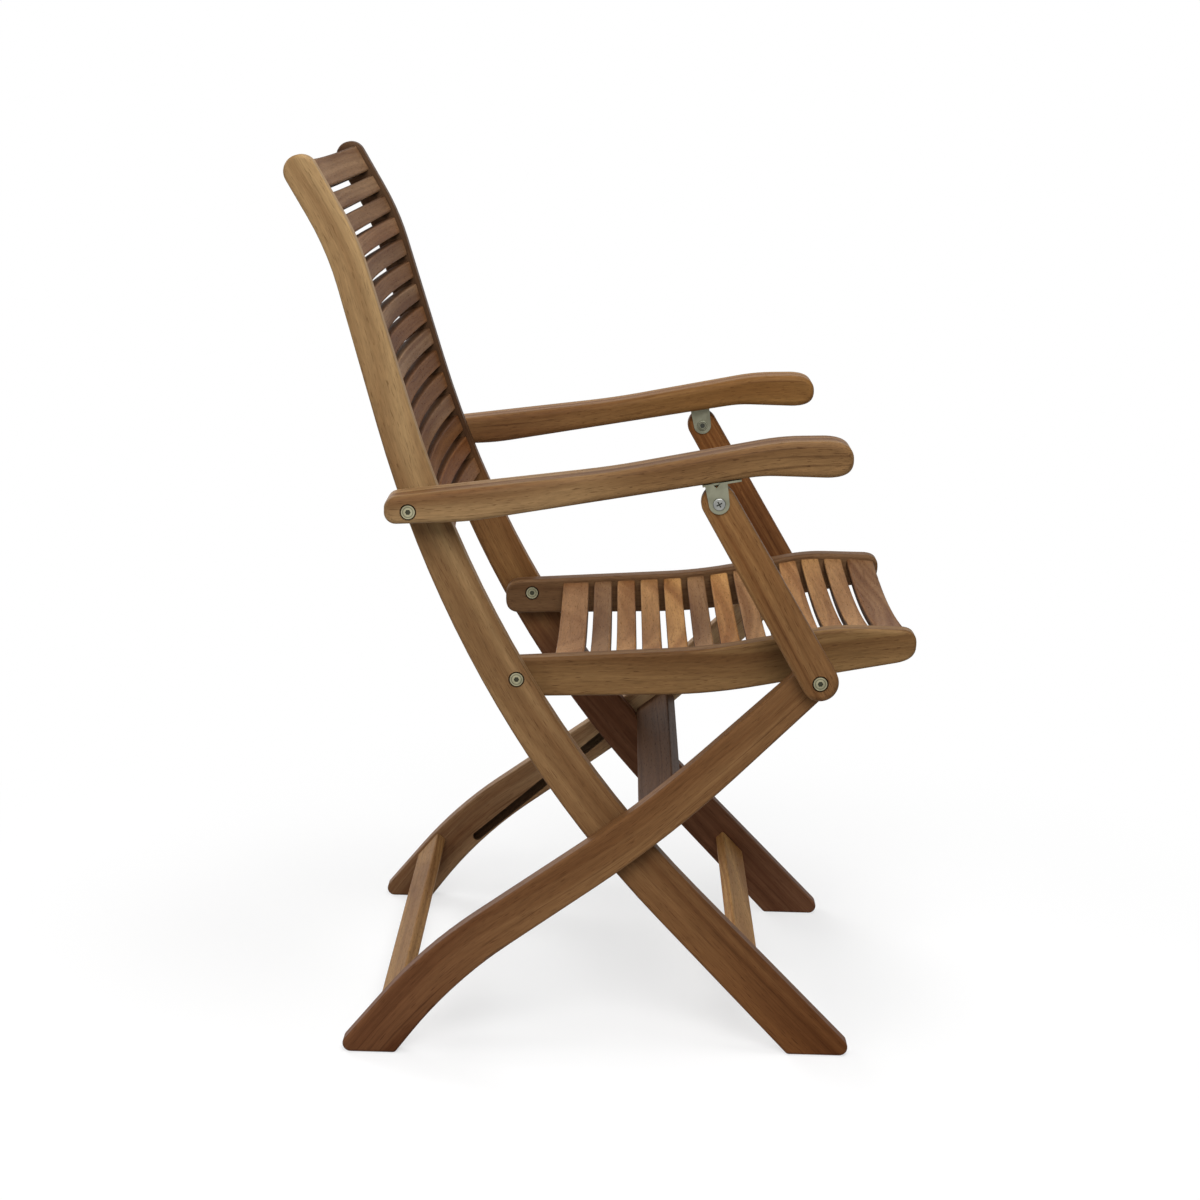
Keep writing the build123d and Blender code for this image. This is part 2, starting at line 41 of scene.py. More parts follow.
def addCamera(look):
    yaw, pitch, roll = (math.radians(look[key]) for key in ("yaw", "pitch", "roll"))
    level = math.cos(pitch)
    ahead = Vector((math.sin(yaw) * level, math.cos(yaw) * level, -math.sin(pitch)))
    right = ahead.cross(Vector((0, 0, 1))).normalized()
    up = right.cross(ahead)
    turnedRight = right * math.cos(roll) + up * math.sin(roll)
    turnedUp = up * math.cos(roll) - right * math.sin(roll)
    data = bpy.data.cameras.new("photoCamera")
    data.sensor_width = look["sensor"]
    data.lens = look["lens"]
    data.clip_end = look["farthest"]
    camera = bpy.data.objects.new("photoCamera", data)
    scene.collection.objects.link(camera)
    turn = Matrix((turnedRight, turnedUp, -ahead)).transposed().to_4x4()
    camera.matrix_world = Matrix.Translation(look["place"]) @ turn
    scene.camera = camera


addCamera(cameraLook)
print("camera placed")


# node helpers: a value is a socket to link or a plain setting
def addNode(tree, kind, **settings):
    node = tree.nodes.new(kind)
    for key, value in settings.items():
        setattr(node, key, value)
    return node


def feed(tree, socket, value):
    if isinstance(value, bpy.types.NodeSocket):
        tree.links.new(value, socket)
    else:
        socket.default_value = value


def calc(tree, operation, *values, clamp=False):
    node = addNode(tree, "ShaderNodeMath", operation=operation, use_clamp=clamp)
    for socket, value in zip(node.inputs, values):
        feed(tree, socket, value)
    return node.outputs[0]


def weigh(tree, base, *pairs):  # base plus each value times its weight
    for value, weight in pairs:
        base = calc(tree, "MULTIPLY_ADD", value, weight, base)
    return base


def calcVector(tree, operation, *values):
    node = addNode(tree, "ShaderNodeVectorMath", operation=operation)
    for socket, value in zip(node.inputs, values):
        feed(tree, socket, value)
    return node.outputs["Value" if operation in ("LENGTH", "DOT_PRODUCT") else "Vector"]


def splitVector(tree, vector):
    node = addNode(tree, "ShaderNodeSeparateXYZ")
    feed(tree, node.inputs[0], vector)
    return node.outputs


def joinVector(tree, *values):
    node = addNode(tree, "ShaderNodeCombineXYZ")
    for socket, value in zip(node.inputs, values):
        feed(tree, socket, value)
    return node.outputs[0]


def mixColor(tree, share, first, second, blend="MIX"):
    node = addNode(tree, "ShaderNodeMix", data_type="RGBA", blend_type=blend)
    feed(tree, node.inputs[0], share)
    feed(tree, node.inputs[6], first)  # the node's own A and B colours
    feed(tree, node.inputs[7], second)
    return node.outputs[2]


def multiplyColor(tree, color, factor):
    return mixColor(tree, 1.0, color, factor, "MULTIPLY")


def stretchNoise(tree, vector, layer, output="Fac"):
    node = addNode(tree, "ShaderNodeTexNoise", noise_dimensions="3D")
    feed(tree, node.inputs["Vector"], calcVector(tree, "MULTIPLY", vector, layer["stretch"]))
    node.inputs["Scale"].default_value = 1.0
    node.inputs["Detail"].default_value = layer.get("detail", 2.0)
    node.inputs["Roughness"].default_value = layer.get("roughness", 0.5)
    return node.outputs[output]


def ramp(tree, value, low, high):
    node = addNode(tree, "ShaderNodeMapRange", interpolation_type="SMOOTHSTEP")
    feed(tree, node.inputs["Value"], value)
    node.inputs["From Min"].default_value = low
    node.inputs["From Max"].default_value = high
    return node.outputs["Result"]


def objectPlace(tree):
    return addNode(tree, "ShaderNodeTexCoord").outputs["Object"]


sideView = (1.0, 0.0, 1.0)  # leaves out the distance across the chair


def fromSide(tree, place, centre):
    return calcVector(tree, "MULTIPLY", calcVector(tree, "SUBTRACT", place, centre), sideView)


def newGroup(name, inputs, outputs):
    tree = bpy.data.node_groups.new(name, "ShaderNodeTree")
    for label, kind, value in inputs:
        socket = tree.interface.new_socket(name=label, in_out="INPUT", socket_type=kind)
        if value is not None:
            socket.default_value = value
    for label, kind in outputs:
        tree.interface.new_socket(name=label, in_out="OUTPUT", socket_type=kind)
    return tree, tree.nodes.new("NodeGroupInput"), tree.nodes.new("NodeGroupOutput")


def placeGroup(tree, group, values):
    node = addNode(tree, "ShaderNodeGroup", node_tree=group)
    for label, value in values.items():
        feed(tree, node.inputs[label], value)
    return node


def startMaterial(name):
    material = bpy.data.materials.new(name)
    material.use_nodes = True
    tree = material.node_tree
    return material, tree, tree.nodes["Principled BSDF"]


def linkSurface(tree, shader, color, surface, bumpLook):
    tree.links.new(color, shader.inputs["Base Color"])
    tree.links.new(surface.outputs["Roughness"], shader.inputs["Roughness"])
    bump = addNode(tree, "ShaderNodeBump")
    bump.inputs["Strength"].default_value = bumpLook["strength"]
    bump.inputs["Distance"].default_value = bumpLook["depth"]
    tree.links.new(surface.outputs["Height"], bump.inputs["Height"])
    tree.links.new(bump.outputs["Normal"], shader.inputs["Normal"])


def dress(name, material):
    node = nodes[name]
    node.data.materials.clear()
    node.data.materials.append(material)


def middle(name):
    low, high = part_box(name)
    return tuple((a + b) / 2 for a, b in zip(low, high))


# oiled hardwood: growth rings round a leaning heart, long dark streaks, fibres and short open pores
# a layer's stretch is how often it changes in a metre along the board and across it
grainLook = {
    "seedShift": (0.713, 0.291, 0.517),  # takes each board from another part of the tree
    "drift": {"stretch": (3.0, 9.0, 9.0)},
    "driftReach": (0.0, 0.016, 0.016),  # how far the grain wanders, in metres
    "rings": {"detail": 3.0, "roughness": 0.62},
    "patches": {"stretch": (2.4, 16.0, 16.0)},
    "streaks": {"stretch": (3.2, 210.0, 210.0), "detail": 3.0, "roughness": 0.6},
    "fibres": {"stretch": (22.0, 1100.0, 1100.0), "roughness": 0.6},
    "pores": {"stretch": (95.0, 1250.0, 1250.0), "detail": 0.0},
    "mottle": {"stretch": (60.0, 420.0, 420.0), "roughness": 0.65},
    "paleShare": {"rings": 0.5, "patches": 0.5},
    "paleRange": (0.33, 0.67),
    "streakRange": (0.54, 0.74),
    "poreRange": (0.68, 0.78),
    "poreDark": 0.6,
    "darkFactor": (0.5, 0.44, 0.42, 1),
    "light": {"base": 0.5, "fibres": 0.4, "mottle": 0.6},
    "rough": {"base": 0.42, "fibres": 0.16, "pores": 0.15, "streaks": 0.06},
    "height": {"fibres": 0.5, "pores": -0.8, "streaks": 0.4},
}


def makeBoardGrain(look):
    tree, given, result = newGroup(
        "boardGrain",
        [
            ("Along", "NodeSocketVector", None),
            ("Pale", "NodeSocketColor", (0.3, 0.17, 0.07, 1)),
            ("Deep", "NodeSocketColor", (0.15, 0.07, 0.03, 1)),
            ("Streaks", "NodeSocketFloat", 0.5),
            ("Rings", "NodeSocketFloat", 150.0),
            ("Lean", "NodeSocketFloat", 0.02),
            ("Heart", "NodeSocketVector", (0.0, 0.05, 0.03)),
            ("Seed", "NodeSocketFloat", 0.0),
        ],
        [("Color", "NodeSocketColor"), ("Roughness", "NodeSocketFloat"), ("Height", "NodeSocketFloat")],
    )
    along, seed = given.outputs["Along"], given.outputs["Seed"]
    pale, deep = given.outputs["Pale"], given.outputs["Deep"]
    seedShift = calcVector(tree, "MULTIPLY", seed, look["seedShift"])
    place = calcVector(tree, "ADD", along, seedShift)
    wander = stretchNoise(tree, place, look["drift"], "Color")
    drift = calcVector(tree, "SUBTRACT", wander, (0.5, 0.5, 0.5))
    drifted = calcVector(tree, "MULTIPLY_ADD", drift, look["driftReach"], along)
    seeded = calcVector(tree, "ADD", drifted, seedShift)
    lean = calc(tree, "MULTIPLY", splitVector(tree, along)[0], given.outputs["Lean"])
    heart = calcVector(tree, "ADD", given.outputs["Heart"], joinVector(tree, 0.0, lean, 0.0))
    fromHeart = calcVector(tree, "MULTIPLY", calcVector(tree, "ADD", drifted, heart), (0.0, 1.0, 1.0))
    radius = calcVector(tree, "LENGTH", fromHeart)
    ringNoise = addNode(tree, "ShaderNodeTexNoise", noise_dimensions="1D")
    feed(tree, ringNoise.inputs["W"], calc(tree, "MULTIPLY_ADD", radius, given.outputs["Rings"], seed))
    ringNoise.inputs["Scale"].default_value = 1.0
    ringNoise.inputs["Detail"].default_value = look["rings"]["detail"]
    ringNoise.inputs["Roughness"].default_value = look["rings"]["roughness"]
    rings = ringNoise.outputs["Fac"]
    patches = stretchNoise(tree, place, look["patches"])
    streaks = stretchNoise(tree, seeded, look["streaks"])
    fibres = stretchNoise(tree, seeded, look["fibres"])
    pores = stretchNoise(tree, seeded, look["pores"])
    mottle = stretchNoise(tree, seeded, look["mottle"])
    share, light, rough, height = (look[key] for key in ("paleShare", "light", "rough", "height"))
    paleShare = weigh(tree, 0.0, (rings, share["rings"]), (patches, share["patches"]))
    tone = mixColor(tree, ramp(tree, paleShare, *look["paleRange"]), deep, pale)
    streakMask = calc(tree, "MULTIPLY", ramp(tree, streaks, *look["streakRange"]), given.outputs["Streaks"])
    poreMask = ramp(tree, pores, *look["poreRange"])
    dark = multiplyColor(tree, deep, look["darkFactor"])
    tone = mixColor(tree, streakMask, tone, dark)
    fibreLight = weigh(tree, light["base"], (fibres, light["fibres"]), (mottle, light["mottle"]))
    tone = multiplyColor(tree, tone, fibreLight)
    tone = mixColor(tree, calc(tree, "MULTIPLY", poreMask, look["poreDark"]), tone, dark)
    tree.links.new(tone, result.inputs["Color"])
    roughness = weigh(tree, rough["base"], (fibres, rough["fibres"]), (poreMask, rough["pores"]))
    roughness = weigh(tree, roughness, (streakMask, rough["streaks"]))
    tree.links.new(roughness, result.inputs["Roughness"])
    relief = weigh(tree, 0.0, (fibres, height["fibres"]), (poreMask, height["pores"]))
    relief = weigh(tree, relief, (streaks, height["streaks"]))
    tree.links.new(relief, result.inputs["Height"])
    return tree


boardGrain = makeBoardGrain(grainLook)

# painted shade in the counterbore round a pivot, in metres
boreLook = {"radius": 0.0085, "rim": (-0.0006, 0.0004), "light": 0.2}


def makeBoreShade(look):
    tree, given, result = newGroup(
        "boreShade",
        [
            ("Color", "NodeSocketColor", (1, 1, 1, 1)),
            ("Centre", "NodeSocketVector", None),
            ("Radius", "NodeSocketFloat", look["radius"]),
        ],
        [("Color", "NodeSocketColor")],
    )
    reach = calcVector(tree, "LENGTH", fromSide(tree, objectPlace(tree), given.outputs["Centre"]))
    clear = ramp(tree, calc(tree, "SUBTRACT", reach, given.outputs["Radius"]), *look["rim"])
    # the wood inside the counterbore radius is darkened: painted shade
    light = weigh(tree, look["light"], (clear, 1 - look["light"]))
    tree.links.new(multiplyColor(tree, given.outputs["Color"], light), result.inputs["Color"])
    return tree


boreShade = makeBoreShade(boreLook)

# the long groove for the slide pin gets painted shade inside: turns of the fold in degrees, sizes in metres
grooveLook = {
    "seatTurn": 100.0,
    "legTurn": 68.5,
    "radius": 0.005,
    "rim": (0.0001, 0.0006),
    "depth": 0.011,
    "beyondFloor": (0.001, 0.002),
    "light": 0.28,
}


def foldedPin(look):  # where the pin lies in the leg when the chair is folded
    pivots = ("seat_pivot_screws", "front_pivot_screws", "slide_pins")
    rear, front, pin = (Vector(middle(name)) for name in pivots)
    swing = Matrix.Rotation(math.radians(-look["seatTurn"]), 3, "Y")
    follow = Matrix.Rotation(math.radians(look["legTurn"]), 3, "Y")
    return front + follow @ (pin - rear - swing @ (front - rear))


def makeGrooveShade(look):
    tree, given, result = newGroup(
        "grooveShade",
        [
            ("Color", "NodeSocketColor", (1, 1, 1, 1)),
            ("Start", "NodeSocketVector", None),
            ("End", "NodeSocketVector", None),
            ("Floor", "NodeSocketFloat", 0.25),
        ],
        [("Color", "NodeSocketColor")],
    )
    place = objectPlace(tree)
    start = given.outputs["Start"]
    fromStart = fromSide(tree, place, start)
    run = fromSide(tree, given.outputs["End"], start)
    runSquared = calcVector(tree, "DOT_PRODUCT", run, run)
    share = calc(tree, "DIVIDE", calcVector(tree, "DOT_PRODUCT", fromStart, run), runSquared, clamp=True)
    nearest = calcVector(tree, "MULTIPLY", run, share)
    gap = calcVector(tree, "LENGTH", calcVector(tree, "SUBTRACT", fromStart, nearest))
    outside = ramp(tree, calc(tree, "SUBTRACT", gap, look["radius"]), *look["rim"])
    sideways = calc(tree, "ABSOLUTE", splitVector(tree, place)[1])
    beyond = ramp(tree, calc(tree, "SUBTRACT", sideways, given.outputs["Floor"]), *look["beyondFloor"])
    clear = calc(tree, "MAXIMUM", outside, beyond)
    # painted shade inside the groove, out to its rim and down to its floor
    light = weigh(tree, look["light"], (clear, 1 - look["light"]))
    tree.links.new(multiplyColor(tree, given.outputs["Color"], light), result.inputs["Color"])
    return tree


grooveShade = makeGrooveShade(grooveLook)

# slats get painted shade on the narrow sides and a painted highlight on one long edge
edgeLook = {
    "sideShadeRange": (0.45, 0.9),
    "edgeHighlightRange": (0.35, 0.65),
    "sideShadeColor": (0.030, 0.013, 0.006, 1),
    "edgeHighlightFactor": (2.6, 2.6, 2.4, 1),
}


def makeSlatEdges(look):
    tree, given, result = newGroup(
        "slatEdges",
        [
            ("Color", "NodeSocketColor", (1, 1, 1, 1)),
            ("Face", "NodeSocketVector", None),
            ("Side", "NodeSocketVector", None),
            ("SideShade", "NodeSocketFloat", 0.5),
            ("EdgeHighlight", "NodeSocketFloat", 0.5),
        ],
        [("Color", "NodeSocketColor")],
    )
    color = given.outputs["Color"]
    normal = addNode(tree, "ShaderNodeTexCoord").outputs["Normal"]
    towardFace = calcVector(tree, "DOT_PRODUCT", normal, given.outputs["Face"])
    towardSide = calcVector(tree, "DOT_PRODUCT", normal, given.outputs["Side"])
    # painted shade on the narrow sides, where the slats face each other
    sideShade = ramp(tree, calc(tree, "ABSOLUTE", towardSide), *look["sideShadeRange"])
    # painted highlight on one long edge of the face
    edge = calc(tree, "MINIMUM", towardFace, calc(tree, "MULTIPLY", towardSide, -1.0))
    edgeHighlight = ramp(tree, edge, *look["edgeHighlightRange"])
    shaded = mixColor(tree, calc(tree, "MULTIPLY", sideShade, given.outputs["SideShade"]), color, look["sideShadeColor"])
    pale = multiplyColor(tree, color, look["edgeHighlightFactor"])
    highlighted = mixColor(tree, calc(tree, "MULTIPLY", edgeHighlight, given.outputs["EdgeHighlight"]), shaded, pale)
    tree.links.new(highlighted, result.inputs["Color"])
    return tree


slatEdges = makeSlatEdges(edgeLook)

# middle lines of the bent boards, so that the grain runs round the bend: (along, across) in metres
bentLines = {
    "stile": [
        (0.0, 0.254), (0.16, 0.097), (0.24, 0.024), (0.32, -0.038), (0.40, -0.091), (0.48, -0.136),
        (0.56, -0.173), (0.64, -0.204), (0.80, -0.254), (0.85, -0.270), (0.93, -0.313),
    ],
    "leg": [
        (-0.276, -0.043), (-0.190, 0.066), (-0.141, 0.115), (-0.086, 0.157),
        (0.026, 0.239), (0.129, 0.331), (0.228, 0.429),
    ],
    "rail": [(-0.12, 0.407), (0.11, 0.419), (0.18, 0.428), (0.25, 0.443), (0.33, 0.455)],
    "arm": [(-0.222, 0.597), (-0.14, 0.604), (0.0, 0.626), (0.08, 0.642), (0.16, 0.658), (0.25, 0.664)],
}
postLine = {"along": (-0.505, 0.0, 0.863), "across": (0.863, 0.0, 0.505)}  # straight board that leans
curveShift = 0.5  # keeps the curve node's points above zero


def bentOffset(tree, along, points):
    node = addNode(tree, "ShaderNodeFloatCurve")
    curve = node.mapping.curves[0]
    for spot, (first, second) in enumerate(points):
        where = (first + curveShift, second + curveShift)
        if spot < 2:  # a new curve already has two points
            curve.points[spot].location = where
        else:
            curve.points.new(*where)
    node.mapping.use_clip = False
    node.mapping.update()
    feed(tree, node.inputs["Value"], calc(tree, "ADD", along, curveShift))
    return calc(tree, "SUBTRACT", node.outputs["Value"], curveShift)


def grainVector(tree, run):
    place = objectPlace(tree)
    x, y, z = splitVector(tree, place)
    if run == "slat":  # across the chair
        return joinVector(tree, y, x, z)
    if run == "post":
        turned = [calcVector(tree, "DOT_PRODUCT", place, postLine[key]) for key in ("along", "across")]
        return joinVector(tree, *turned, y)
    along, across = (z, x) if run == "stile" else (x, z)
    bent = calc(tree, "SUBTRACT", across, bentOffset(tree, along, bentLines[run]))
    return joinVector(tree, along, bent, y)


# how far the pale and deep wood of a board part from its mean colour at a spread of 1
toneSpread = {"paleLift": (0.22, 0.26, 0.30), "deepDrop": (0.28, 0.36, 0.40)}
woodBump = {"strength": 0.25, "depth": 0.0006}
boardDefaults = {
    "spread": 1.0,
    "streaks": 0.4,
    "rings": 150.0,
    "lean": 0.02,
    "heart": (0.0, 0.05, 0.03),
    "gloss": 0.05,
    "pivots": (),
}


def spreadTone(tone, spread):
    pale = [value * (1 + lift * spread) for value, lift in zip(tone, toneSpread["paleLift"])]
    deep = [value * (1 - drop * spread) for value, drop in zip(tone, toneSpread["deepDrop"])]
    return {"Pale": (*pale, 1), "Deep": (*deep, 1)}


# on the boards marked in boardLooks the drift between spots carries painted shade and painted light
def driftTones(tree, along, look):  # the colour drifts from spot to spot along the board
    length = splitVector(tree, along)[0]
    spots = [spot for spot, tone in look["tones"]]
    shades = [spreadTone(tone, look["spread"]) for spot, tone in look["tones"]]
    drifted = {}
    for key in ("Pale", "Deep"):
        drifted[key] = shades[0][key]
        for start, end, shade in zip(spots, spots[1:], shades[1:]):
            drifted[key] = mixColor(tree, ramp(tree, length, start, end), drifted[key], shade[key])
    return drifted


def makeBoardWood(name, run, look):
    look = {**boardDefaults, **look}
    material, tree, shader = startMaterial(name)
    along = grainVector(tree, run)
    grain = placeGroup(tree, boardGrain, {
        "Along": along,
        **driftTones(tree, along, look),
        "Streaks": look["streaks"],
        "Rings": look["rings"],
        "Lean": look["lean"],
        "Heart": look["heart"],
        "Seed": look["seed"],
    })
    color = grain.outputs["Color"]
    for pivot in look["pivots"]:
        centre = middle(pivot + "_pivot_screws")
        color = placeGroup(tree, boreShade, {"Color": color, "Centre": centre}).outputs["Color"]
    if "groove" in look:
        inner = min(abs(corner[1]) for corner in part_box(look["groove"]))
        color = placeGroup(tree, grooveShade, {
            "Color": color,
            "Start": middle("slide_pins"),
            "End": foldedPin(grooveLook),
            "Floor": inner + grooveLook["depth"],
        }).outputs["Color"]
    if "edges" in look:
        color = placeGroup(tree, slatEdges, {"Color": color, **look["edges"]}).outputs["Color"]
    linkSurface(tree, shader, color, grain, woodBump)
    shader.inputs["Specular IOR Level"].default_value = look["gloss"]
    return material


# each board's run, its mean linear colour at spots along it, its streaks and its own cut from the tree;
# where marked below, the colours at the spots also hold painted shade and light
boardLooks = {
    "right_stile": {
        "run": "stile",
        # darker towards the foot: partly the wood's own tone, partly painted shade
        "tones": [(-0.15, (0.096, 0.031, 0.008)), (0.75, (0.246, 0.152, 0.068))],
        "seed": 1.3,
        "spread": 1.2,
        "rings": 110.0,
        "pivots": ("seat", "arm"),
    },
    "left_stile": {
        "run": "stile",
        # painted shade below the seat and from the arm upward, lighter between them
        "tones": [
            (0.30, (0.130, 0.056, 0.027)),
            (0.44, (0.175, 0.088, 0.031)),
            (0.53, (0.165, 0.082, 0.030)),
            (0.61, (0.066, 0.034, 0.016)),
        ],
        "seed": 2.9,
        "spread": 1.2,
        "pivots": ("seat", "arm"),
    },
    "right_rear_leg": {
        "run": "leg",
        "tones": [(-0.28, (0.122, 0.050, 0.021)), (0.05, (0.194, 0.103, 0.042))],
        "seed": 4.1,
        "streaks": 0.6,
        "spread": 1.5,
        "rings": 80.0,
        "groove": "right_rear_leg",
    },
    "left_rear_leg": {
        "run": "leg",
        # lighter towards the top: painted light that makes up for the seat's shadow
        "tones": [(-0.24, (0.190, 0.104, 0.050)), (-0.02, (0.355, 0.230, 0.119))],
        "seed": 5.7,
        "streaks": 0.6,
        "spread": 1.5,
        "rings": 80.0,
        "groove": "left_rear_leg",
    },
    "right_seat_rail": {
        "run": "rail",
        "tones": [(0.05, (0.150, 0.080, 0.031)), (0.33, (0.166, 0.092, 0.036))],
        "seed": 6.2,
        "spread": 1.1,
        "pivots": ("seat", "front"),
    },
    "left_seat_rail": {
        "run": "rail",
        "tones": [(0.0, (0.107, 0.055, 0.0245))],
        "seed": 7.4,
        "spread": 1.1,
        "pivots": ("seat", "front"),
    },
    "right_arm": {
        "run": "arm",
        "tones": [(-0.09, (0.208, 0.124, 0.055)), (0.05, (0.143, 0.076, 0.030))],
        "seed": 8.8,
        "streaks": 0.75,
        "spread": 1.6,
        "rings": 70.0,
        "pivots": ("arm",),
    },
    "left_arm": {
        "run": "arm",
        "tones": [(-0.15, (0.178, 0.092, 0.036)), (0.18, (0.240, 0.130, 0.042))],
        "seed": 9.1,
        "streaks": 0.6,
        "spread": 1.5,
        "rings": 80.0,
        "pivots": ("arm",),
    },
    "right_post": {
        "run": "post",
        "tones": [(0.30, (0.160, 0.081, 0.031)), (0.42, (0.200, 0.102, 0.037))],
        "seed": 10.6,
        "streaks": 0.55,
        "spread": 1.6,
        "rings": 85.0,
        "pivots": ("front",),
    },
    "left_post": {
        "run": "post",
        "tones": [(0.34, (0.140, 0.059, 0.0205)), (0.46, (0.228, 0.100, 0.0315))],
        "seed": 11.2,
        "streaks": 0.5,
        "spread": 1.3,
        "pivots": ("front",),
    },
    "rear_stretcher": {
        "run": "slat",
        "tones": [(0.0, (0.220, 0.116, 0.042))],
        "seed": 12.5,
        "spread": 1.2,
        "gloss": 0.03,
    },
    "front_stretcher": {
        "run": "slat",
        # made lighter to make up for the shade it sits in: painted light
        "tones": [(0.0, (0.440, 0.240, 0.084))],
        "seed": 13.3,
        "spread": 1.2,
        "gloss": 0.03,
    },
    "stop_bar": {
        "run": "slat",
        # very dark: partly painted shade under the seat
        "tones": [(0.0, (0.068, 0.032, 0.0145))],
        "seed": 14.9,
        "streaks": 0.5,
        "gloss": 0.03,
    },
}
for name, look in boardLooks.items():
    dress(name, makeBoardWood(name + "Wood", look["run"], look))
print("boards dressed:", len(boardLooks))

# each slat is its own stick of wood: how light and how warm it is, from the top or from the rear; on the
# back slats this is partly the wood's own tone and partly painted shade
slatLooks = {
    "back_slat": {
        "gloss": 0.012,
        "edges": {"Face": (0.94, 0.0, 0.34), "Side": (-0.34, 0.0, 0.94), "SideShade": 0.75, "EdgeHighlight": 0.5},
        # the back slats' warm tone is darker: their light and warmth lists paint shade, mostly on the lower
        # slats
        "tone": (0.205, 0.118, 0.060),
        "warm": (0.125, 0.052, 0.018),
        "light": [0.93, 0.88, 0.83, 1.22, 0.93, 0.92, 0.88, 1.02, 0.97, 0.93, 0.9, 0.96, 0.92, 1.33, 1.1],
        "warmth": [0.1, 0.1, 0.5, 0.2, 0.05, 0.7, 0.2, 0.9, 0.0, 1.0, 1.0, 0.5, 1.0, 1.0, 0.8],
    },
    "seat_slat": {
        "gloss": 0.02,
        "edges": {"Face": (0.0, 0.0, 1.0), "Side": (1.0, 0.0, 0.0), "SideShade": 0.6, "EdgeHighlight": 0.25},
        "tone": (0.205, 0.108, 0.050),
        "warm": (0.310, 0.155, 0.050),
        "light": [1.03, 0.72, 1.02, 0.97, 1.0, 0.78, 1.13, 0.98, 0.85, 1.12, 0.94, 0.95, 0.87],
        "warmth": [0.1, 0.0, 0.4, 0.5, 0.8, 0.1, 0.8, 0.2, 0.3, 0.4, 0.5, 0.3, 0.0],
    },
}
stickLook = {"spread": 1.45, "streaks": 0.4, "rings": 75.0}
stickSeeds = {"first": 29.0, "step": 3.7}


def dressSlats(kind, look):
    for spot, (light, warmth) in enumerate(zip(look["light"], look["warmth"])):
        tone = [light * (cool + (warm - cool) * warmth) for cool, warm in zip(look["tone"], look["warm"])]
        stick = {
            **stickLook,
            "tones": [(0.0, tone)],
            "seed": stickSeeds["first"] + stickSeeds["step"] * spot,
            "gloss": look["gloss"],
            "edges": look["edges"],
        }
        number = f"{spot + 1:02d}"
        dress(f"{kind}_{number}", makeBoardWood(f"{kind}{number}Wood", "slat", stick))


for kind, look in slatLooks.items():
    dressSlats(kind, look)
print("slats dressed:", sum(len(look["light"]) for look in slatLooks.values()))

# zinc and steel: cloudy, with painted shade in the sockets and round the turned ring of a head, in metres
platingLook = {
    "cloud": {"stretch": (90.0, 90.0, 90.0)},
    "fine": {"stretch": (2600.0, 2600.0, 900.0)},
    "cloudRange": (0.35, 0.7),
    "socketRim": (0.0, 0.0005),
    "socketDepth": (0.0002, 0.0007),
    "ringRange": (0.0002, 0.0009),
    "socketShade": 0.9,
    "ringShade": 0.6,
    "socketShadeColor": (0.02, 0.022, 0.015, 1),
    "fineRough": 0.2,
    "shadeRough": 0.2,
}
# the dark in such a socket is painted shade
throughFace = 9.0  # a face so far out that a socket is dark all the way


def makePlating(look):
    tree, given, result = newGroup(
        "plating",
        [
            ("Tint", "NodeSocketColor", (0.3, 0.3, 0.25, 1)),
            ("Dull", "NodeSocketColor", (0.2, 0.2, 0.16, 1)),
            ("Polish", "NodeSocketFloat", 0.3),
            ("Centre", "NodeSocketVector", None),
            ("Face", "NodeSocketFloat", throughFace),
            ("Socket", "NodeSocketFloat", 0.0),
            ("Ring", "NodeSocketFloat", 0.0),
        ],
        [("Color", "NodeSocketColor"), ("Roughness", "NodeSocketFloat"), ("Height", "NodeSocketFloat")],
    )
    place = objectPlace(tree)
    cloud = stretchNoise(tree, place, look["cloud"])
    fine = stretchNoise(tree, place, look["fine"])
    dullShare = ramp(tree, cloud, *look["cloudRange"])
    skin = mixColor(tree, dullShare, given.outputs["Tint"], given.outputs["Dull"])
    sideways = calc(tree, "ABSOLUTE", splitVector(tree, place)[1])
    depth = calc(tree, "SUBTRACT", given.outputs["Face"], sideways)
    reach = calcVector(tree, "LENGTH", fromSide(tree, place, given.outputs["Centre"]))
    pastSocket = ramp(tree, calc(tree, "SUBTRACT", reach, given.outputs["Socket"]), *look["socketRim"])
    inside = calc(tree, "SUBTRACT", 1.0, pastSocket)
    hole = calc(tree, "MULTIPLY", inside, ramp(tree, depth, *look["socketDepth"]))
    offRing = calc(tree, "ABSOLUTE", calc(tree, "SUBTRACT", reach, given.outputs["Ring"]))
    ring = calc(tree, "SUBTRACT", 1.0, ramp(tree, offRing, *look["ringRange"]))
    # painted shade in the socket and in the groove of the turned ring
    holeShade = calc(tree, "MULTIPLY", hole, look["socketShade"])
    ringShade = calc(tree, "MULTIPLY", ring, look["ringShade"])
    paintedShade = calc(tree, "MAXIMUM", holeShade, ringShade)
    tree.links.new(mixColor(tree, paintedShade, skin, look["socketShadeColor"]), result.inputs["Color"])
    rough = weigh(tree, given.outputs["Polish"], (fine, look["fineRough"]), (paintedShade, look["shadeRough"]))
    tree.links.new(rough, result.inputs["Roughness"])
    tree.links.new(calc(tree, "ADD", fine, cloud), result.inputs["Height"])
    return tree


plating = makePlating(platingLook)

metalBump = {"strength": 0.05, "depth": 0.0002}
metalLooks = {
    "yellowZinc": {"tint": (0.34, 0.315, 0.205), "dull": (0.225, 0.21, 0.135), "polish": 0.30},
    "greenZinc": {"tint": (0.21, 0.207, 0.15), "dull": (0.16, 0.158, 0.112), "polish": 0.32},
    "steel": {"tint": (0.30, 0.30, 0.28), "dull": (0.17, 0.175, 0.17), "polish": 0.24},
}
